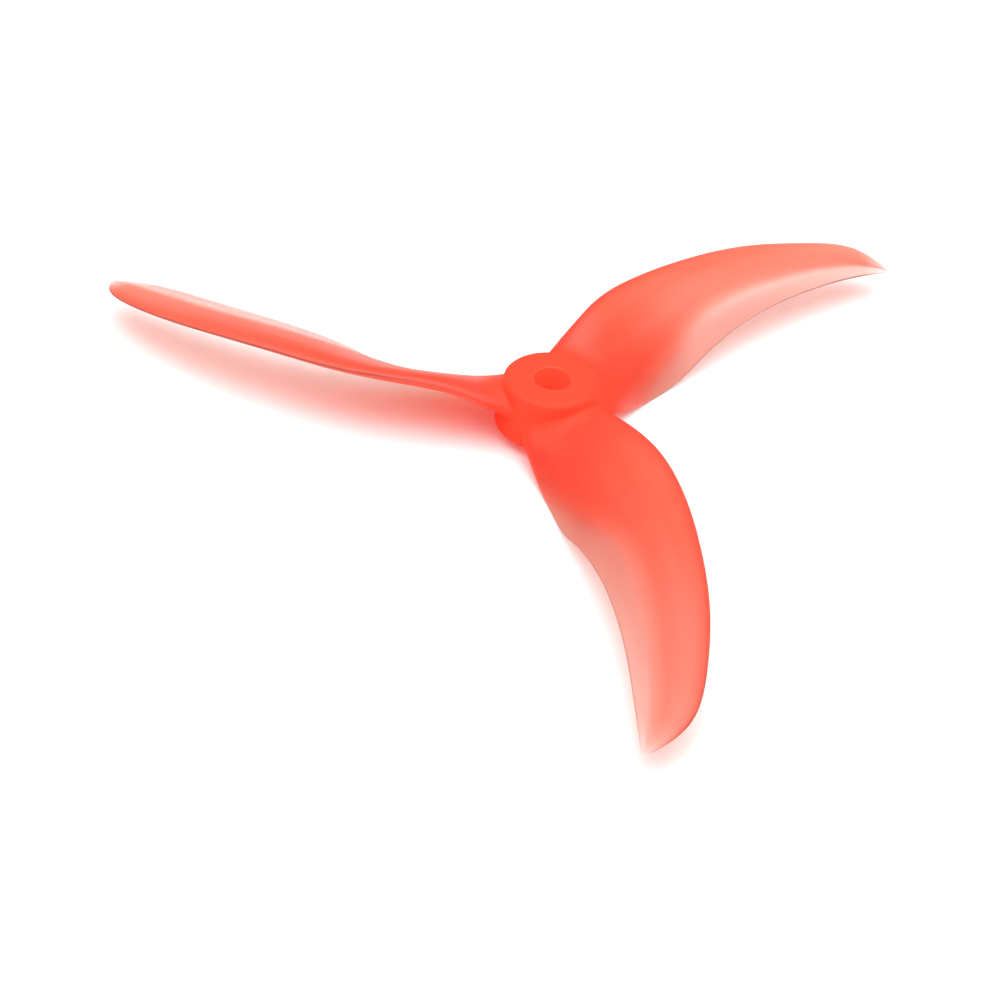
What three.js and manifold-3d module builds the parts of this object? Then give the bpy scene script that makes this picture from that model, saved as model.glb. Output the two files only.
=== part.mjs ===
// Three-blade propeller for a racing quadcopter of the 5 inch class, moulded in clear red plastic.
// Millimetres, +Z up. The origin is the centre of the bore at the motor seat, the hub's underside.
// Blade 1 points along +X. Seen from above, the propeller turns anticlockwise and pushes air down.
import * as THREE from 'three';
import { mergeVertices } from 'three/addons/utils/BufferGeometryUtils.js';
import Module from 'manifold-3d';

// Hub: a slightly conical boss with a round top edge, and a bore that slides over the motor's shaft.
const HUB_BASE_DIAMETER = 13.8;
const HUB_TOP_DIAMETER = 12.8;
const HUB_HEIGHT = 7;
const HUB_TOP_ROUND = 1;
const HUB_BOTTOM_BEVEL = 0.3;
const BORE_DIAMETER = 5;
const BORE_BEVEL = 0.15;
const HUB_SIDES = 72;
const ROUND_STEPS = 5;

// Blades: all alike, evenly spaced, swept back to a pointed tip. Outside the root each gets thinner
// towards its trailing edge, where there is a thin strip that widens outwards.
const PROPELLER_DIAMETER = 127;
const BLADE_COUNT = 3;
const TIP_SWEEP = THREE.MathUtils.degToRad(13.2);
const TIP_HEIGHT = 1.9;
const ROOT_THICKNESS = 3;
const TIP_THICKNESS = 1;
const REAR_TAPER = 0.4;
const TAPER_FADES_IN = [0.08, 0.28];
const STRIP_THICKNESS = 0.36;
const STRIP_STARTS_AT = { root: 0.95, outside: 0.62 };
const STRIP_WIDENS = [0.04, 0.5];
const STRIP_FADES_IN = [0.05, 0.15];
const STRIP_SOFTNESS = 0.16;
const NOSE_LENGTH = 3.2;
const TIP_TAPER_CHORD = 6;
const CAMBER = 0.05;
const CLEARANCE_TO_HUB = 0.3;
const SPAN_STEPS = 36;
const SPAN_CROWDING = 1.3;
const CHORD_STEPS = 11;

const TIP = [
  (PROPELLER_DIAMETER / 2) * Math.cos(TIP_SWEEP),
  (-PROPELLER_DIAMETER / 2) * Math.sin(TIP_SWEEP),
  TIP_HEIGHT,
];

// The two edges of blade 1, from inside the hub to the tip. Each point is [out, sideways, up].
const LEADING_EDGE = [
  [3, 5.2, 3.6],
  [7.5, 5.6, 5.2],
  [12, 5.8, 6.8],
  [18, 6.4, 7.7],
  [26, 6.1, 7.6],
  [36, 3.9, 7.3],
  [46, 0.6, 6.4],
  [54, -3.3, 5.1],
  [57.5, -5.5, 4.5],
  [60, -7.8, 3.9],
  [61.4, -10.6, 3.1],
  TIP,
];
const TRAILING_EDGE = [
  [3, -5.7, 2.6],
  [7.5, -5.8, 0.8],
  [12, -5.9, -0.8],
  [16, -6, -1.3],
  [21, -6.5, -0.6],
  [26, -6.9, 1.3],
  [36, -7.9, 3.4],
  [46, -9.9, 3.7],
  [54, -12.2, 3.3],
  TIP,
];

const wasm = await Module();
wasm.setup();

function toSolid(geometry) {
  const bare = geometry.clone();
  bare.deleteAttribute('normal');
  bare.deleteAttribute('uv');
  const merged = mergeVertices(bare, 1e-5);
  return new wasm.Manifold(
    new wasm.Mesh({
      numProp: 3,
      vertProperties: Float32Array.from(merged.attributes.position.array),
      triVerts: Uint32Array.from(merged.index.array),
    }),
  );
}

function toGeometry(solid) {
  const mesh = solid.getMesh();
  const geometry = new THREE.BufferGeometry();
  geometry.setAttribute('position', new THREE.Float32BufferAttribute(mesh.vertProperties, 3));
  geometry.setIndex(new THREE.Uint32BufferAttribute(mesh.triVerts, 1));
  return geometry;
}

function hubGeometry() {
  const base = HUB_BASE_DIAMETER / 2;
  const top = HUB_TOP_DIAMETER / 2;
  const bore = BORE_DIAMETER / 2;
  const shoulder = HUB_HEIGHT - HUB_TOP_ROUND;
  const outline = new THREE.Path();
  outline.moveTo(bore + BORE_BEVEL, 0);
  outline.lineTo(base - HUB_BOTTOM_BEVEL, 0);
  outline.lineTo(base, HUB_BOTTOM_BEVEL);
  outline.lineTo(top, shoulder);
  outline.absarc(top - HUB_TOP_ROUND, shoulder, HUB_TOP_ROUND, 0, Math.PI / 2, false);
  outline.lineTo(bore + BORE_BEVEL, HUB_HEIGHT);
  outline.lineTo(bore, HUB_HEIGHT - BORE_BEVEL);
  outline.lineTo(bore, BORE_BEVEL);
  outline.lineTo(bore + BORE_BEVEL, 0);
  // The lathe turns the outline about +Y, and the propeller's axis is +Z.
  return new THREE.LatheGeometry(outline.getPoints(ROUND_STEPS), HUB_SIDES).rotateX(Math.PI / 2);
}

// The hub's cone, grown by the clearance and longer at both ends, that the blade's root is cut to.
function hubEnvelope() {
  const slope = (HUB_BASE_DIAMETER - HUB_TOP_DIAMETER) / 2 / (HUB_HEIGHT - HUB_TOP_ROUND);
  const overrun = HUB_HEIGHT;
  const bottomRadius = HUB_BASE_DIAMETER / 2 + CLEARANCE_TO_HUB + slope * overrun;
  const topRadius = HUB_BASE_DIAMETER / 2 + CLEARANCE_TO_HUB - slope * (HUB_HEIGHT + overrun);
  return new THREE.CylinderGeometry(topRadius, bottomRadius, HUB_HEIGHT + 2 * overrun, HUB_SIDES)
    .rotateX(Math.PI / 2)
    .translate(0, 0, HUB_HEIGHT / 2);
}

// How much of its height a round edge has reached at a distance in from its rim.
function roundEdge(distance, depth) {
  const left = Math.max(0, 1 - distance / depth);
  return Math.sqrt(1 - left * left);
}

// The blade's thickness at a share of the span out and a share of the chord back.
function thicknessAt(along, share, chordLength) {
  const taper = REAR_TAPER * THREE.MathUtils.smoothstep(along, ...TAPER_FADES_IN) * share;
  const main = THREE.MathUtils.lerp(ROOT_THICKNESS, TIP_THICKNESS, Math.sqrt(along)) * (1 - taper);
  const widening = THREE.MathUtils.smoothstep(along, ...STRIP_WIDENS);
  const startsAt = THREE.MathUtils.lerp(STRIP_STARTS_AT.root, STRIP_STARTS_AT.outside, widening);
  const strip =
    THREE.MathUtils.smoothstep(share - startsAt, -STRIP_SOFTNESS, STRIP_SOFTNESS) *
    THREE.MathUtils.smoothstep(along, ...STRIP_FADES_IN);
  const body = THREE.MathUtils.lerp(main, STRIP_THICKNESS, strip);
  const nose = roundEdge(share * chordLength, NOSE_LENGTH);
  const tail = roundEdge((1 - share) * chordLength, body / 2);
  return body * nose * tail * Math.min(1, chordLength / TIP_TAPER_CHORD);
}

// One section of the blade as a ring of points: over the top from the leading edge to the trailing
// edge, and back underneath.
function sectionRing(leading, trailing, along) {
  const front = leading.getPointAt(along);
  const chord = trailing.getPointAt(along).sub(front);
  const out = leading.getTangentAt(along).add(trailing.getTangentAt(along));
  const up = out.cross(chord).normalize().negate();
  const pointAt = (step, side) => {
    const share = (1 - Math.cos((Math.PI * step) / CHORD_STEPS)) / 2;
    const arch = 4 * CAMBER * chord.length() * share * (1 - share);
    const half = thicknessAt(along, share, chord.length()) / 2;
    return front
      .clone()
      .addScaledVector(chord, share)
      .addScaledVector(up, arch + side * half);
  };
  const ring = [];
  for (let step = 0; step <= CHORD_STEPS; step += 1) ring.push(pointAt(step, 1));
  for (let step = CHORD_STEPS - 1; step > 0; step -= 1) ring.push(pointAt(step, -1));
  return ring;
}

function bladeGeometry() {
  const [leading, trailing] = [LEADING_EDGE, TRAILING_EDGE].map(
    (edge) => new THREE.CatmullRomCurve3(edge.map((point) => new THREE.Vector3(...point))),
  );
  const points = [];
  for (let i = 0; i < SPAN_STEPS; i += 1) {
    points.push(...sectionRing(leading, trailing, 1 - (1 - i / SPAN_STEPS) ** SPAN_CROWDING));
  }
  const ringSize = points.length / SPAN_STEPS;
  const tipIndex = points.length;
  points.push(new THREE.Vector3(...TIP));

  const triangles = [];
  for (let j = 1; j < ringSize - 1; j += 1) triangles.push(0, j + 1, j);
  for (let i = 0; i < SPAN_STEPS; i += 1) {
    for (let j = 0; j < ringSize; j += 1) {
      const here = i * ringSize + j;
      const beside = i * ringSize + ((j + 1) % ringSize);
      if (i === SPAN_STEPS - 1) {
        triangles.push(here, beside, tipIndex);
      } else {
        triangles.push(here, beside, here + ringSize);
        triangles.push(beside, beside + ringSize, here + ringSize);
      }
    }
  }
  const loft = new THREE.BufferGeometry();
  loft.setAttribute('position', new THREE.Float32BufferAttribute(points.flatMap((p) => p.toArray()), 3));
  loft.setIndex(triangles);
  return toGeometry(toSolid(loft).subtract(toSolid(hubEnvelope())));
}

const polycarbonate = { color: 0xf2483a, roughness: 0.3, metalness: 0 };

const propeller = new THREE.Group();
const hub = new THREE.Mesh(hubGeometry(), new THREE.MeshStandardMaterial(polycarbonate));
hub.name = 'hub';
propeller.add(hub);

const blade = bladeGeometry();
for (let i = 0; i < BLADE_COUNT; i += 1) {
  const mesh = new THREE.Mesh(blade, new THREE.MeshStandardMaterial(polycarbonate));
  mesh.name = `blade_${i + 1}`;
  mesh.rotation.z = (2 * Math.PI * i) / BLADE_COUNT;
  propeller.add(mesh);
}

export default propeller;
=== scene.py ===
"""A three-blade quadcopter propeller, moulded in clear red plastic, lying on a white table.

Shapes are worked out in millimetres, in the CAD part's frame: +Z up, the origin at the middle of the
hub's underside, blade 1 along +X. Meshes, the table and the camera are placed in metres.
"""

import math

import bmesh
import bpy
import numpy as np
from mathutils import Matrix, Vector, geometry


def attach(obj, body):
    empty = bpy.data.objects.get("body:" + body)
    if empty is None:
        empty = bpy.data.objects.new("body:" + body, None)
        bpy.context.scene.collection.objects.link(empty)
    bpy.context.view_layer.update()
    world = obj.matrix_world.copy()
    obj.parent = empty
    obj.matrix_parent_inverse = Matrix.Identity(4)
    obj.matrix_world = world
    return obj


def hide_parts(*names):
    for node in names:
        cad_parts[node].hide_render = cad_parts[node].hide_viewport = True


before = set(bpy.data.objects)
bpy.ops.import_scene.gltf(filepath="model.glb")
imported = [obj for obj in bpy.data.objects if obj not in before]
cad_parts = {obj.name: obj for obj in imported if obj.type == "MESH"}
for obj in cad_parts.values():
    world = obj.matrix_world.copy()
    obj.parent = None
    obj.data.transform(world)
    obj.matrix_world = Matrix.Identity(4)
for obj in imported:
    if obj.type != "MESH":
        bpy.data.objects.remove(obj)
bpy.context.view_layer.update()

MM = 0.001

# Hub: a slightly conical boss with a round top edge and a bore.
HUB_BASE_RADIUS = 6.9
HUB_TOP_RADIUS = 6.4
HUB_HEIGHT = 7.0
HUB_TOP_ROUND = 1.0
HUB_BOTTOM_BEVEL = 0.3
BORE_RADIUS = 2.5
BORE_BEVEL = 0.15
HUB_SIDES = 144
HUB_ROUND_STEPS = 9

# Blades: all alike, evenly spaced, swept back to a pointed tip. Outside the root each gets thinner
# towards its trailing edge, where there is a thin strip that widens outwards. The two edges start
# inside the hub, and shares of the span and of the chord run from 0 to 1.
BLADE_COUNT = 3
PROPELLER_RADIUS = 63.5
TIP_SWEEP = math.radians(13.2)
TIP = (PROPELLER_RADIUS * math.cos(TIP_SWEEP), -PROPELLER_RADIUS * math.sin(TIP_SWEEP), 1.9)
LEADING_EDGE = [
    (3, 5.2, 3.6),
    (7.5, 5.6, 5.2),
    (12, 5.8, 6.8),
    (18, 6.4, 7.7),
    (26, 6.1, 7.6),
    (36, 3.9, 7.3),
    (46, 0.6, 6.4),
    (54, -3.3, 5.1),
    (57.5, -5.5, 4.5),
    (60, -7.8, 3.9),
    (61.4, -10.6, 3.1),
    TIP,
]
TRAILING_EDGE = [
    (3, -5.7, 2.6),
    (7.5, -5.8, 0.8),
    (12, -5.9, -0.8),
    (16, -6, -1.3),
    (21, -6.5, -0.6),
    (26, -6.9, 1.3),
    (36, -7.9, 3.4),
    (46, -9.9, 3.7),
    (54, -12.2, 3.3),
    TIP,
]
ROOT_THICKNESS = 3.0
TIP_THICKNESS = 1.0
REAR_TAPER = 0.4
TAPER_FADES_IN = (0.08, 0.28)
STRIP_THICKNESS = 0.36
STRIP_STARTS_AT_ROOT = 0.95
STRIP_STARTS_OUTSIDE = 0.62
STRIP_WIDENS = (0.04, 0.5)
STRIP_FADES_IN = (0.05, 0.15)
STRIP_SOFTNESS = 0.16
NOSE_LENGTH = 3.2
TIP_TAPER_CHORD = 6.0
CAMBER = 0.05
SPAN_RINGS = 130
SPAN_CROWDING = 1.15
CHORD_STEPS = 40

# Where a blade grows out of the hub: a fillet all round its root, that reaches further out along the
# blade than it rises on the hub's wall. It is small at the blade's edges and grows to its size on the
# faces between two shares of the chord. The search for its rings ends at a share of the span, and
# JOINT_GAP keeps the blade's end a hair off the wall, so that the two faces don't coincide.
FILLET_RISE_AT_EDGES = 0.3
FILLET_RISE_ON_FACES = 0.8
FILLET_REACH_AT_EDGES = 1.0
FILLET_REACH_ON_FACES = 2.2
FILLET_GROWS = (0.02, 0.3)
FILLET_RINGS = 10
FILLET_SEARCH_END = 0.2
FILLET_SEARCH_STEPS = 2000
FILLET_LOOK_AHEAD = 0.005
JOINT_GAP = 0.01

# The hub's wall: three alike sectors of small triangles, each round one root. They end part of the way
# over the round top edge.
WALL_SEAM = math.radians(-62.5)
WALL_TOP_TURN = math.radians(30)
WALL_GRID = 0.4
WALL_GRID_CLEARANCE = 0.6 * WALL_GRID

# The meshes: how near points are merged, and the angles between faces from which an edge stays sharp.
MERGE_DISTANCE = 0.0005
HUB_SHARP_ANGLE = math.radians(30)
BLADE_SHARP_ANGLE = math.radians(60)

# What the material reads: the depth of the plastic in millimetres, which falls from the hub's to the
# blade's over HUB_DEPTH_REACH out from the wall, and the blades' rims, where shade is painted, which
# fade away over RIM_WIDTH, in millimetres from the edge, and fade in and out at shares of the span.
HUB_DEPTH = 7.0
HUB_DEPTH_REACH = 3.5
RIM_WIDTH = (0.06, 0.28)
RIM_FADES_IN = (0.12, 0.3)
RIM_FADES_OUT = (0.88, 0.98)
BLADE_MARKS = ("depth", "along", "across", "rim_painted_shade")

# The plastic: how strongly each millimetre absorbs red, green and blue light, how fast haze grows with
# depth, the haze's colour, and how much light it sends back instead of through. The haze in the bore is
# painted paler, as painted light: more light in there than a deep hole would have. The blades' rims get
# painted shade: they are darker, standing for the light that their tight round edge bends away.
IOR = 1.58
ABSORPTION_PER_MM = (0.003, 0.94, 1.28)
HAZE_PER_MM = 0.32
HAZE_COLOUR = (1.0, 0.16, 0.078)
PAINTED_BORE_LIGHT_COLOUR = (1.0, 0.36, 0.21)
HAZE_SENT_BACK = 0.38
RIM_PAINTED_SHADE_COLOUR = (0.3, 0.12, 0.1)
RIM_PAINTED_SHADE_SHARE = 0.6

# Its unevenness: streaks in the haze, counted across the chord and along the span, and a fine satin
# grain on the surface. Nearly all of the noise's values lie in NOISE_RANGE.
NOISE_RANGE = (0.3, 0.7)
STREAKS_ACROSS = 5.0
STREAKS_ALONG = 1.5
STREAK_STRENGTH = 0.25
GRAIN_MM = 0.9
GRAIN_BUMP_MM = 0.004
ROUGHNESS = (0.28, 0.36)

# The table: half its side in metres, and the gap under the propeller in millimetres.
TABLE_HALF_SIDE = 3.0
TABLE_GAP = 0.02
TABLE_COLOUR = (0.9, 0.9, 0.9)
TABLE_ROUGHNESS = 0.6

# The light, from a white room: its brightness all round and straight overhead, how high up it starts
# to rise, from 0 at the horizon to 1 overhead, and the side that is brighter by a share.
LOW_BRIGHTNESS = 0.58
HIGH_BRIGHTNESS = 3.9
BRIGHTENS_FROM = 0.62
BRIGHTER_SIDE = (-0.87, 0.5, 0.0)
SIDE_SHARE = 0.1

# The camera: the photo's viewpoint and tilt, but turned to this propeller and with a longer lens,
# because the photo's other three are left out. Places and lens in millimetres, clipping in metres.
CAMERA_EYE = (-203.34, -136.22, 178.02)
CAMERA_LOOKS_AT = (-20.27, -7.98, 3.0)
CAMERA_UP = (-0.0338, 0.0767, 0.9965)
CAMERA_LENS = 84
CAMERA_SENSOR = 36
CAMERA_CLIP = (0.01, 10)


def mix(one, other, share):
    """A value a share of the way from one to the other."""
    return one + (other - one) * share


def smooth_step(values, low, high):
    """0 below low, 1 above high, and an S-shaped rise between them."""
    share = np.clip((np.asarray(values, float) - low) / (high - low), 0, 1)
    return share * share * (3 - 2 * share)


def round_edge(distance, depth):
    """How much of its height a round edge has reached at a distance in from its rim."""
    left = np.clip(1 - distance / depth, 0, 1)
    return np.sqrt(1 - left * left)


class SmoothCurve:
    """A natural cubic spline through points, read by its share of the length.

    Its direction and its bend have no jumps, and its ends are straight.
    """

    SAMPLES = 4000

    def __init__(self, points):
        points = np.array(points, float)
        at = np.concatenate([[0], np.cumsum(np.linalg.norm(np.diff(points, axis=0), axis=1))])
        gaps = np.diff(at)
        slopes = np.diff(points, axis=0) / gaps[:, None]
        count = len(points)
        system = np.eye(count)
        right = np.zeros_like(points)
        for i in range(1, count - 1):
            system[i, i - 1 : i + 2] = gaps[i - 1], 2 * (gaps[i - 1] + gaps[i]), gaps[i]
            right[i] = 6 * (slopes[i] - slopes[i - 1])
        bends = np.linalg.solve(system, right)
        fine = np.linspace(0, at[-1], self.SAMPLES)
        i = np.clip(np.searchsorted(at, fine) - 1, 0, count - 2)
        before, after = (fine - at[i])[:, None], (at[i + 1] - fine)[:, None]
        gap = gaps[i][:, None]
        self.points = (
            (bends[i] * after**3 + bends[i + 1] * before**3) / (6 * gap)
            + (points[i] / gap - bends[i] * gap / 6) * after
            + (points[i + 1] / gap - bends[i + 1] * gap / 6) * before
        )
        steps = np.linalg.norm(np.diff(self.points, axis=0), axis=1)
        lengths = np.concatenate([[0], np.cumsum(steps)])
        self.shares = lengths / lengths[-1]
        tangents = np.gradient(self.points, lengths, axis=0)
        self.tangents = tangents / np.linalg.norm(tangents, axis=1)[:, None]

    def _read(self, rows, along):
        return np.stack([np.interp(along, self.shares, rows[:, i]) for i in range(3)], axis=-1)

    def at(self, along):
        return self._read(self.points, along)

    def tangent(self, along):
        return self._read(self.tangents, along)


leading, trailing = SmoothCurve(LEADING_EDGE), SmoothCurve(TRAILING_EDGE)


def body_thickness(along, share):
    """The blade's thickness at shares of the span and the chord, before its edges are rounded."""
    main = mix(ROOT_THICKNESS, TIP_THICKNESS, np.sqrt(along))
    main = main * (1 - REAR_TAPER * smooth_step(along, *TAPER_FADES_IN) * share)
    starts_at = mix(STRIP_STARTS_AT_ROOT, STRIP_STARTS_OUTSIDE, smooth_step(along, *STRIP_WIDENS))
    strip = smooth_step(share - starts_at, -STRIP_SOFTNESS, STRIP_SOFTNESS)
    return mix(main, STRIP_THICKNESS, strip * smooth_step(along, *STRIP_FADES_IN))


def tip_taper(chord_length):
    """How much of its thickness the blade keeps where the chord runs out towards the tip."""
    return np.minimum(1, chord_length / TIP_TAPER_CHORD)


def thickness_at(along, share, chord_length):
    """The blade's thickness, with its round leading and trailing edges."""
    body = body_thickness(along, share)
    nose = round_edge(share * chord_length, NOSE_LENGTH)
    tail = round_edge((1 - share) * chord_length, body / 2)
    return body * nose * tail * tip_taper(chord_length)


def blade_point(along, share, side):
    """Points of the blade's skin. side is 1 on top and -1 underneath."""
    front = leading.at(along)
    chord = trailing.at(along) - front
    length = np.linalg.norm(chord, axis=-1)
    up = np.cross(chord, leading.tangent(along) + trailing.tangent(along))
    up /= np.linalg.norm(up, axis=-1)[..., None] + 1e-12
    arch = 4 * CAMBER * length * share * (1 - share)
    lift = arch + side * thickness_at(along, share, length) / 2
    return front + chord * share[..., None] + up * lift[..., None]


def wall_radius(height):
    """The hub's outer radius at a height, on its cone and on the round above that."""
    shoulder = HUB_HEIGHT - HUB_TOP_ROUND
    slope = (HUB_TOP_RADIUS - HUB_BASE_RADIUS) / (shoulder - HUB_BOTTOM_BEVEL)
    cone = HUB_BASE_RADIUS + slope * (height - HUB_BOTTOM_BEVEL)
    rise = np.clip((height - shoulder) / HUB_TOP_ROUND, 0, 1)
    return np.maximum(cone, HUB_TOP_RADIUS) - HUB_TOP_ROUND * (1 - np.sqrt(1 - rise**2))


def off_wall(points):
    """How far points stand out from the hub's wall."""
    return np.hypot(points[..., 0], points[..., 1]) - wall_radius(points[..., 2])


def onto_wall(points, distance):
    """The points moved straight out or in to stand a distance off the hub's wall."""
    radius = np.hypot(points[:, 0], points[:, 1])
    moved = points.copy()
    moved[:, :2] *= ((wall_radius(points[:, 2]) + distance) / radius)[:, None]
    return moved


def skin_marks(points, along, share):
    """What the material reads at points of the blade's skin, in the order of BLADE_MARKS.

    The depth of the plastic grows to the hub's beside the hub, and isn't less at the round edges,
    because light that enters there runs on through the blade. The others are the shares of the span
    and of the chord, and how much the point belongs to the rim, where shade is painted.
    """
    chord_length = np.linalg.norm(trailing.at(along) - leading.at(along), axis=-1)
    own = body_thickness(along, share) * tip_taper(chord_length)
    depth = mix(own, HUB_DEPTH, 1 - smooth_step(off_wall(points), 0, HUB_DEPTH_REACH))
    half = thickness_at(along, share, chord_length) / 2
    from_rim = np.hypot(np.minimum(share, 1 - share) * chord_length, half)
    # Painted shade: this rim mask darkens the blades' edges in the material.
    rim_painted_shade = (1 - smooth_step(from_rim, *RIM_WIDTH)) * smooth_step(along, *RIM_FADES_IN)
    rim_painted_shade = rim_painted_shade * (1 - smooth_step(along, *RIM_FADES_OUT))
    return np.stack([depth, along, share, rim_painted_shade])


def section_stations():
    """Each point's share of the chord and side, round a section over the top and back underneath."""
    shares = (1 - np.cos(np.pi * np.arange(CHORD_STEPS + 1) / CHORD_STEPS)) / 2
    shares = np.concatenate([shares, shares[-2:0:-1]])
    sides = np.where(np.arange(len(shares)) <= CHORD_STEPS, 1.0, -1.0)
    return shares, sides


def outward_at_root(start, shares, sides):
    """Which way the blade's skin faces all round its root, square to the hub's radius."""
    first = blade_point(start, shares, sides)
    around = np.roll(first, -1, axis=0) - np.roll(first, 1, axis=0)
    outward = np.cross(around, blade_point(start + FILLET_LOOK_AHEAD, shares, sides) - first)
    radial = first * (1, 1, 0)
    radial /= np.linalg.norm(radial, axis=1)[:, None]
    outward -= radial * (outward * radial).sum(1)[:, None]
    outward /= np.linalg.norm(outward, axis=1)[:, None]
    # The middle of the blade's top faces up.
    return outward * np.sign(outward[CHORD_STEPS // 2, 2])


def blade_rings():
    """Rings of points from the root's outline on the hub's wall, over the fillet and out to the tip.

    The tip itself is one more point. The marks of all the rings' points come with them.
    """
    shares, sides = section_stations()
    count = len(shares)
    search = np.linspace(0, FILLET_SEARCH_END, FILLET_SEARCH_STEPS)
    lines = blade_point(search[:, None] + 0 * shares, shares + 0 * search[:, None], sides)
    distance = off_wall(lines)

    def along_at(offset):
        return np.array([np.interp(offset[j], distance[:, j], search) for j in range(count)])

    flat = smooth_step(np.minimum(shares, 1 - shares), *FILLET_GROWS)
    rise = mix(FILLET_RISE_AT_EDGES, FILLET_RISE_ON_FACES, flat)
    reach = mix(FILLET_REACH_AT_EDGES, FILLET_REACH_ON_FACES, flat)
    start = along_at(reach)
    outward = outward_at_root(start, shares, sides)

    rings, marks = [], []
    for k in range(FILLET_RINGS, 0, -1):
        turn = math.pi / 2 * k / FILLET_RINGS
        off = reach * (1 - math.sin(turn))
        points = blade_point(along_at(off), shares, sides)
        points = points + outward * (rise * (1 - math.cos(turn)))[:, None]
        rings.append(onto_wall(points, off + JOINT_GAP))
        marks.append(skin_marks(rings[-1], along_at(off), shares))
    for i in range(SPAN_RINGS):
        along = start + (1 - start) * (1 - (1 - i / SPAN_RINGS) ** SPAN_CROWDING)
        rings.append(blade_point(along, shares, sides))
        marks.append(skin_marks(rings[-1], along, shares))
    return rings, np.concatenate(marks, axis=1)


def inside(points, outline):
    """Which 2D points lie inside a closed outline."""
    result = np.zeros(len(points), bool)
    for a, b in zip(outline, np.roll(outline, -1, axis=0)):
        crosses = (a[1] > points[:, 1]) != (b[1] > points[:, 1])
        with np.errstate(divide="ignore", invalid="ignore"):
            x = a[0] + (points[:, 1] - a[1]) * (b[0] - a[0]) / (b[1] - a[1])
        result ^= crosses & (points[:, 0] < x)
    return result


def far_from(points, others, distance):
    """Which points lie further than a distance from all the others."""
    gaps = np.linalg.norm(points[:, None, :] - others[None, :, :], axis=2)
    return gaps.min(1) > distance


def wall_sector(root):
    """A third of the hub's wall, unrolled and cut into triangles that follow the blade root's outline.

    Returns each point's angle and height, the triangles, and which of them the root covers. The
    root's points come first, in their order.
    """
    mean_radius = (HUB_BASE_RADIUS + HUB_TOP_RADIUS) / 2
    unroll = np.array((mean_radius, 1))
    wall_top = HUB_HEIGHT - HUB_TOP_ROUND * (1 - math.sin(WALL_TOP_TURN))
    step = 2 * math.pi / HUB_SIDES
    sides = HUB_SIDES // BLADE_COUNT
    bottom = [(WALL_SEAM + i * step, HUB_BOTTOM_BEVEL) for i in range(sides + 1)]
    top = [(angle, wall_top) for angle, _ in bottom]
    rows = round((wall_top - HUB_BOTTOM_BEVEL) / WALL_GRID)

    def seam(low, high):
        return [tuple(np.array(low) + (np.array(high) - low) * i / rows) for i in range(1, rows)]

    border = bottom + seam(bottom[-1], top[-1]) + top[::-1] + seam(top[0], bottom[0])
    border = np.array(border) * unroll
    outline = np.stack([np.arctan2(root[:, 1], root[:, 0]), root[:, 2]], axis=1) * unroll
    low, high = border.min(0), border.max(0)
    columns, heights = (np.arange(low[i], high[i], WALL_GRID) for i in range(2))
    grid = np.stack(np.meshgrid(columns, heights), -1).reshape(-1, 2)
    grid = grid[inside(grid, border)]
    grid = grid[far_from(grid, np.concatenate([border, outline]), WALL_GRID_CLEARANCE)]

    points = np.concatenate([outline, border, grid])
    loops = [(0, len(outline)), (len(outline), len(outline) + len(border))]
    edges = [(i, i + 1 if i + 1 < end else first) for first, end in loops for i in range(first, end)]
    made = geometry.delaunay_2d_cdt([Vector(p) for p in points], edges, [], 0, 1e-6)
    if len(made[0]) != len(points):
        raise RuntimeError("the root's outline leaves its third of the hub's wall")
    triangles = np.array(made[2])
    middles = points[triangles].mean(1)
    triangles = triangles[inside(middles, border)]
    covered = inside(points[triangles].mean(1), outline)
    return points / unroll, triangles, covered


def wall_points(flat, distance):
    """Unrolled points, each an angle and a height, put back on the wall or a distance off it."""
    radius = wall_radius(flat[:, 1]) + distance
    return np.stack([radius * np.cos(flat[:, 0]), radius * np.sin(flat[:, 0]), flat[:, 1]], axis=1)


def turned(points, angle):
    """The points turned about the propeller's axis."""
    return points @ np.array(Matrix.Rotation(angle, 3, "Z")).T


def make_mesh(name, points, marks, faces, joint, sharp_angle):
    """A smooth closed mesh from millimetre points, sharp where its faces meet at more than an angle.

    Points that coincide are merged. marks holds each point's values under the names that the material
    reads, and joint marks the faces that a piece shares with its neighbour.
    """
    mesh = bpy.data.meshes.new(name)
    mesh.from_pydata([tuple(p) for p in np.asarray(points) * MM], [], [tuple(f) for f in faces])
    mesh.attributes.new("joint", "FLOAT", "FACE").data.foreach_set("value", np.array(joint, np.float32))
    for key, values in marks.items():
        data = mesh.attributes.new(key, "FLOAT", "POINT").data
        data.foreach_set("value", np.array(values, np.float32))
    shape = bmesh.new()
    shape.from_mesh(mesh)
    bmesh.ops.remove_doubles(shape, verts=shape.verts, dist=MERGE_DISTANCE * MM)
    bmesh.ops.recalc_face_normals(shape, faces=shape.faces)
    layer = shape.faces.layers.float["joint"]
    for face in shape.faces:
        face.smooth = True
    for edge in shape.edges:
        if len(edge.link_faces) != 2:
            raise RuntimeError(f"{name} has an open or doubled edge")
        one, other = edge.link_faces
        edge.smooth = one[layer] == other[layer] and edge.calc_face_angle() < sharp_angle
    shape.to_mesh(mesh)
    shape.free()
    return mesh


def hub_profile():
    """The hub's half outline from the top of its wall, over the top, down the bore and back out."""
    turns = np.linspace(WALL_TOP_TURN, math.pi / 2, HUB_ROUND_STEPS)
    profile = [
        (
            HUB_TOP_RADIUS - HUB_TOP_ROUND * (1 - math.cos(turn)),
            HUB_HEIGHT - HUB_TOP_ROUND * (1 - math.sin(turn)),
        )
        for turn in turns
    ]
    return profile + [
        (BORE_RADIUS + BORE_BEVEL, HUB_HEIGHT),
        (BORE_RADIUS, HUB_HEIGHT - BORE_BEVEL),
        (BORE_RADIUS, BORE_BEVEL),
        (BORE_RADIUS + BORE_BEVEL, 0),
        (HUB_BASE_RADIUS - HUB_BOTTOM_BEVEL, 0),
        (HUB_BASE_RADIUS, HUB_BOTTOM_BEVEL),
    ]


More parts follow.
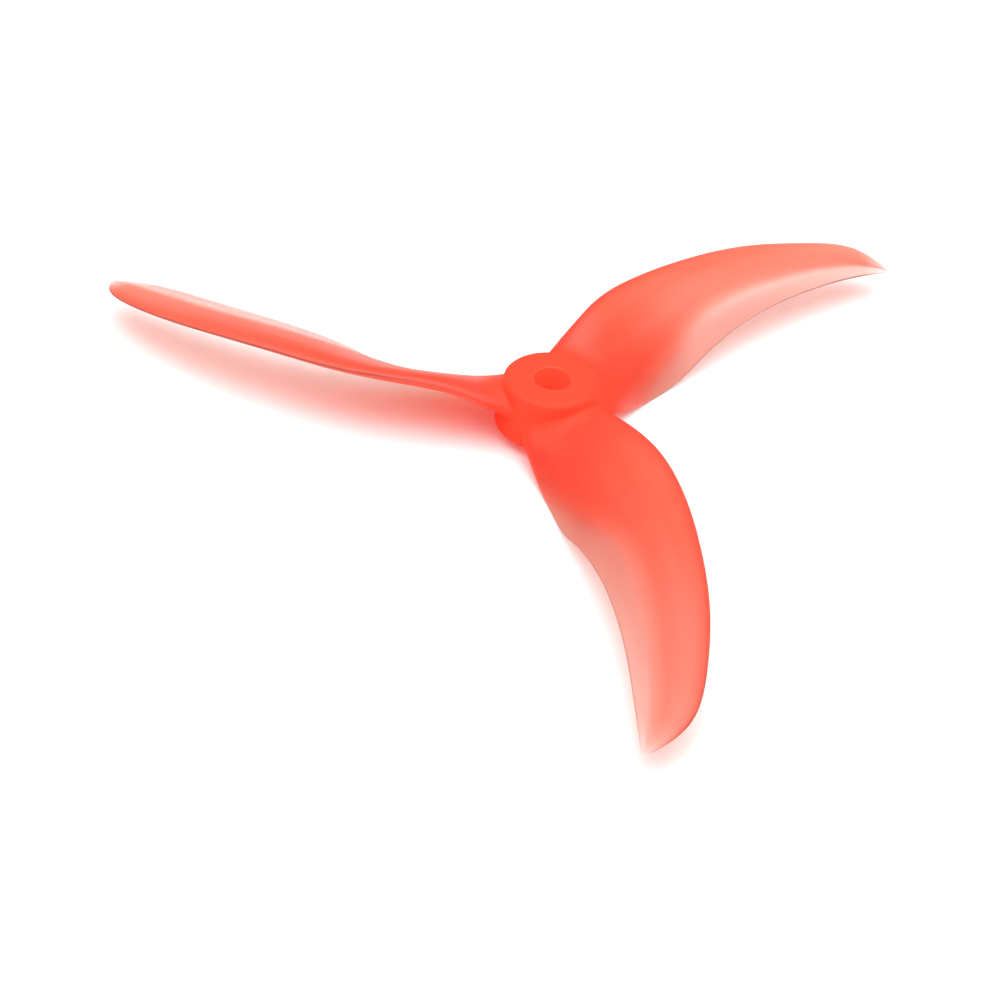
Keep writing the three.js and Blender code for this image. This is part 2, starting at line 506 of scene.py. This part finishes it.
def hub_mesh(sector):
    """The hub: three turned copies of the wall's sector, and the rest of its outline spun round."""
    flat, triangles, covered = sector
    third = wall_points(flat, 0)
    points, faces, joint = [], [], []
    for i in range(BLADE_COUNT):
        faces.extend((triangles + len(points)).tolist())
        points.extend(turned(third, 2 * math.pi * i / BLADE_COUNT))
        joint.extend(covered)

    profile = hub_profile()
    angles = WALL_SEAM + np.arange(HUB_SIDES) * 2 * math.pi / HUB_SIDES
    base = len(points)
    for radius, height in profile:
        points.extend(
            np.stack([radius * np.cos(angles), radius * np.sin(angles), 0 * angles + height], axis=1)
        )
    for row in range(len(profile) - 1):
        for i in range(HUB_SIDES):
            here = base + row * HUB_SIDES + i
            beside = base + row * HUB_SIDES + (i + 1) % HUB_SIDES
            faces.append((here, beside, beside + HUB_SIDES, here + HUB_SIDES))
            joint.append(0)
    count = len(points)
    marks = {
        "depth": [HUB_DEPTH] * count,
        "along": [0] * count,
        "across": [0.5] * count,
        # Painted light: the bore's wall is marked for a paler haze colour.
        "painted_bore_light": np.hypot(*np.array(points)[:, :2].T) < BORE_RADIUS + BORE_BEVEL / 2,
    }
    return make_mesh("hub", points, marks, faces, joint, HUB_SHARP_ANGLE)


def blade_mesh(rings, marks, sector):
    """Blade 1: its rings joined up and closed by the tip and by the wall's triangles under the root."""
    flat, triangles, covered = sector
    size = len(rings[0])
    tip = size * len(rings)
    inner = sorted(set(triangles[covered].ravel()) - set(range(size)))
    # The root's outline comes first in the sector and in the rings, so its points keep their numbers.
    number = {point: tip + 1 + i for i, point in enumerate(inner)}
    points = np.concatenate([*rings, [TIP], wall_points(flat[inner], JOINT_GAP)])
    tip_marks = [[0], [1], [0.5], [0]]
    inner_marks = np.repeat([[HUB_DEPTH], [0], [0.5], [0]], len(inner), axis=1)
    marks = dict(zip(BLADE_MARKS, np.concatenate([marks, tip_marks, inner_marks], axis=1)))
    faces = [tuple(number.get(point, point) for point in face) for face in triangles[covered].tolist()]
    joint = [1] * len(faces)
    for i in range(len(rings)):
        for j in range(size):
            here = i * size + j
            beside = i * size + (j + 1) % size
            if i == len(rings) - 1:
                faces.append((here, beside, tip))
            else:
                faces.append((here, beside, beside + size, here + size))
            joint.append(0)
    return make_mesh("blade", points, marks, faces, joint, BLADE_SHARP_ANGLE)


def place_piece(name, mesh, node, material):
    """An object for a mesh. It rides on the body root and replaces a CAD node."""
    piece = bpy.data.objects.new(name, mesh)
    bpy.context.scene.collection.objects.link(piece)
    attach(piece, "root")
    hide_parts(node)
    mesh.materials.append(material)


def moulding(material):
    """The hub and three alike blades. Returns the height of the lowest point, in metres."""
    rings, marks = blade_rings()
    sector = wall_sector(rings[0])
    place_piece("moulded_hub", hub_mesh(sector), "hub", material)
    blade = blade_mesh(rings, marks, sector)
    for i in range(BLADE_COUNT):
        mesh = blade.copy()
        mesh.transform(Matrix.Rotation(2 * math.pi * i / BLADE_COUNT, 4, "Z"))
        place_piece(f"moulded_blade_{i + 1}", mesh, f"blade_{i + 1}", material)
    return min(vertex.co.z for vertex in blade.vertices)



def add_node(tree, kind, inputs=None, **settings):
    """A new node. Its inputs are values or other nodes' outputs, by the socket's name or number."""
    node = tree.nodes.new(kind)
    for key, value in settings.items():
        setattr(node, key, value)
    for key, value in (inputs or {}).items():
        if isinstance(value, bpy.types.NodeSocket):
            tree.links.new(value, node.inputs[key])
        else:
            node.inputs[key].default_value = value
    return node


def attribute(tree, name):
    """One of the marks on the meshes. It reads 0 on a mesh that doesn't have it."""
    return add_node(tree, "ShaderNodeAttribute", attribute_name=name).outputs["Fac"]


def arithmetic(tree, operation, *values):
    return add_node(tree, "ShaderNodeMath", dict(enumerate(values)), operation=operation).outputs[0]


def remap(tree, value, source, target, **settings):
    """A value carried from one range to another, and kept inside it."""
    inputs = {"Value": value}
    inputs["From Min"], inputs["From Max"] = source
    inputs["To Min"], inputs["To Max"] = target
    return add_node(tree, "ShaderNodeMapRange", inputs, **settings).outputs[0]


def mix_colours(tree, share, one, other):
    inputs = {"Factor": share, 6: one, 7: other}
    return add_node(tree, "ShaderNodeMix", inputs, data_type="RGBA").outputs[2]


def mix_shaders(tree, share, one, other):
    return add_node(tree, "ShaderNodeMixShader", {0: share, 1: one, 2: other}).outputs[0]


def surface_grain(tree):
    """A fine, even, irregular grain: a value about 0.5."""
    position = add_node(tree, "ShaderNodeTexCoord").outputs["Object"]
    inputs = {"Vector": position, "Scale": 1 / (GRAIN_MM * MM), "Detail": 2.0}
    return add_node(tree, "ShaderNodeTexNoise", inputs).outputs["Fac"]


def flow_streaks(tree):
    """Soft streaks along the blades, the way the melt ran out from the hub: a value about 0.5."""
    inputs = {"X": attribute(tree, "across"), "Y": attribute(tree, "along")}
    place = add_node(tree, "ShaderNodeCombineXYZ", inputs).outputs[0]
    inputs = {0: place, 1: (STREAKS_ACROSS, STREAKS_ALONG, 1)}
    place = add_node(tree, "ShaderNodeVectorMath", inputs, operation="MULTIPLY").outputs[0]
    inputs = {"Vector": place, "Scale": 1.0, "Detail": 1.0}
    return add_node(tree, "ShaderNodeTexNoise", inputs).outputs["Fac"]


def clear_plastic(tree, depth, skin):
    """Satin glass that tints the light going in or out by the depth of the plastic.

    skin is 1 on the moulding's outside and 0 on the faces inside it, where two pieces join. Those
    neither bend nor scatter nor tint the light.
    """
    grain = surface_grain(tree)
    bump = add_node(tree, "ShaderNodeBump", {"Height": grain, "Distance": GRAIN_BUMP_MM * MM})
    roughness = remap(tree, grain, NOISE_RANGE, ROUGHNESS)
    depth_on_skin = arithmetic(tree, "MULTIPLY", depth, skin)
    tints = [
        arithmetic(tree, "POWER", math.exp(-absorption), depth_on_skin)
        for absorption in ABSORPTION_PER_MM
    ]
    tint = add_node(tree, "ShaderNodeCombineColor", dict(zip(("Red", "Green", "Blue"), tints)))
    inputs = {
        "Base Color": tint.outputs[0],
        "Roughness": arithmetic(tree, "MULTIPLY", roughness, skin),
        "IOR": remap(tree, skin, (0, 1), (1.0, IOR)),
        "Transmission Weight": 1.0,
        "Normal": bump.outputs[0],
    }
    return add_node(tree, "ShaderNodeBsdfPrincipled", inputs).outputs[0]


def haze(tree, rim_painted_shade):
    """The light that the plastic scatters. It is paler in the bore, as painted light, and darker at the
    blades' rims, as painted shade.
    """
    painted_bore_light_share = attribute(tree, "painted_bore_light")
    # Painted light in the bore and painted shade at the rims, mixed into the haze's colour.
    colour = mix_colours(tree, painted_bore_light_share, (*HAZE_COLOUR, 1), (*PAINTED_BORE_LIGHT_COLOUR, 1))
    colour = mix_colours(tree, rim_painted_shade, colour, (*RIM_PAINTED_SHADE_COLOUR, 1))
    through = add_node(tree, "ShaderNodeBsdfTranslucent", {"Color": colour}).outputs[0]
    back = add_node(tree, "ShaderNodeBsdfDiffuse", {"Color": colour}).outputs[0]
    return mix_shaders(tree, HAZE_SENT_BACK, through, back)


def haze_share(tree, depth, rim_painted_shade, skin):
    """How much of the light is scattered: more where the plastic is deeper, in streaks, and at rims,
    for their painted shade.
    """
    strength = (1 - STREAK_STRENGTH, 1 + STREAK_STRENGTH)
    streaks = remap(tree, flow_streaks(tree), NOISE_RANGE, strength)
    hazy_depth = arithmetic(tree, "MULTIPLY", depth, streaks)
    left = arithmetic(tree, "POWER", math.exp(-HAZE_PER_MM), hazy_depth)
    share = arithmetic(tree, "SUBTRACT", 1.0, left)
    # The rims' painted shade also raises the haze's share there.
    share = arithmetic(tree, "MAXIMUM", share, arithmetic(tree, "MULTIPLY", rim_painted_shade, RIM_PAINTED_SHADE_SHARE))
    return arithmetic(tree, "MULTIPLY", share, skin)


def new_material(name, surface):
    """A material whose surface is the shader that a function makes in its node tree."""
    material = bpy.data.materials.new(name)
    material.use_nodes = True
    tree = material.node_tree
    tree.nodes.clear()
    add_node(tree, "ShaderNodeOutputMaterial", {"Surface": surface(tree)})
    return material


def clear_red_plastic(tree):
    """Clear plastic that is redder and hazier where it is deeper, with painted shade on the blades'
    rims and painted light in the bore.
    """
    depth = attribute(tree, "depth")
    rim_painted_shade = attribute(tree, "rim_painted_shade")
    skin = arithmetic(tree, "SUBTRACT", 1.0, attribute(tree, "joint"))
    share = haze_share(tree, depth, rim_painted_shade, skin)
    return mix_shaders(tree, share, clear_plastic(tree, depth, skin), haze(tree, rim_painted_shade))


def matt_white(tree):
    inputs = {"Base Color": (*TABLE_COLOUR, 1), "Roughness": TABLE_ROUGHNESS}
    return add_node(tree, "ShaderNodeBsdfPrincipled", inputs).outputs[0]


def white_table(height):
    """A wide flat table top at a height in metres."""
    mesh = bpy.data.meshes.new("table")
    side = TABLE_HALF_SIDE
    corners = [(-side, -side, 0), (side, -side, 0), (side, side, 0), (-side, side, 0)]
    mesh.from_pydata(corners, [], [(0, 1, 2, 3)])
    mesh.materials.append(new_material("white_table", matt_white))
    table = bpy.data.objects.new("table", mesh)
    bpy.context.scene.collection.objects.link(table)
    table.location.z = height


def studio():
    """A white room that is dim all round and grows bright overhead, a little more so on one side."""
    world = bpy.data.worlds.new("studio")
    bpy.context.scene.world = world
    world.use_nodes = True
    tree = world.node_tree
    direction = add_node(tree, "ShaderNodeTexCoord").outputs["Generated"]
    height = add_node(tree, "ShaderNodeSeparateXYZ", {0: direction}).outputs["Z"]
    rise = (LOW_BRIGHTNESS, HIGH_BRIGHTNESS)
    overhead = remap(tree, height, (BRIGHTENS_FROM, 1.0), rise, interpolation_type="SMOOTHSTEP")
    inputs = {0: direction, 1: BRIGHTER_SIDE}
    side = add_node(tree, "ShaderNodeVectorMath", inputs, operation="DOT_PRODUCT").outputs["Value"]
    side = arithmetic(tree, "MULTIPLY_ADD", side, SIDE_SHARE, 1.0)
    background = tree.nodes["Background"]
    background.inputs["Color"].default_value = (1, 1, 1, 1)
    tree.links.new(arithmetic(tree, "MULTIPLY", overhead, side), background.inputs["Strength"])


def camera():
    """The scene's camera, which looks from the photo's viewpoint."""
    data = bpy.data.cameras.new("camera")
    data.lens = CAMERA_LENS
    data.sensor_width = CAMERA_SENSOR
    data.clip_start, data.clip_end = CAMERA_CLIP
    camera_object = bpy.data.objects.new("camera", data)
    bpy.context.scene.collection.objects.link(camera_object)
    eye = Vector(CAMERA_EYE) * MM
    back = (eye - Vector(CAMERA_LOOKS_AT) * MM).normalized()
    right = Vector(CAMERA_UP).cross(back).normalized()
    turn = Matrix((right, back.cross(right), back)).transposed().to_4x4()
    camera_object.matrix_world = Matrix.Translation(eye) @ turn
    bpy.context.scene.camera = camera_object
    bpy.context.scene.view_settings.view_transform = "Standard"


lowest = moulding(new_material("clear_red_plastic", clear_red_plastic))
white_table(lowest - TABLE_GAP * MM)
studio()
camera()
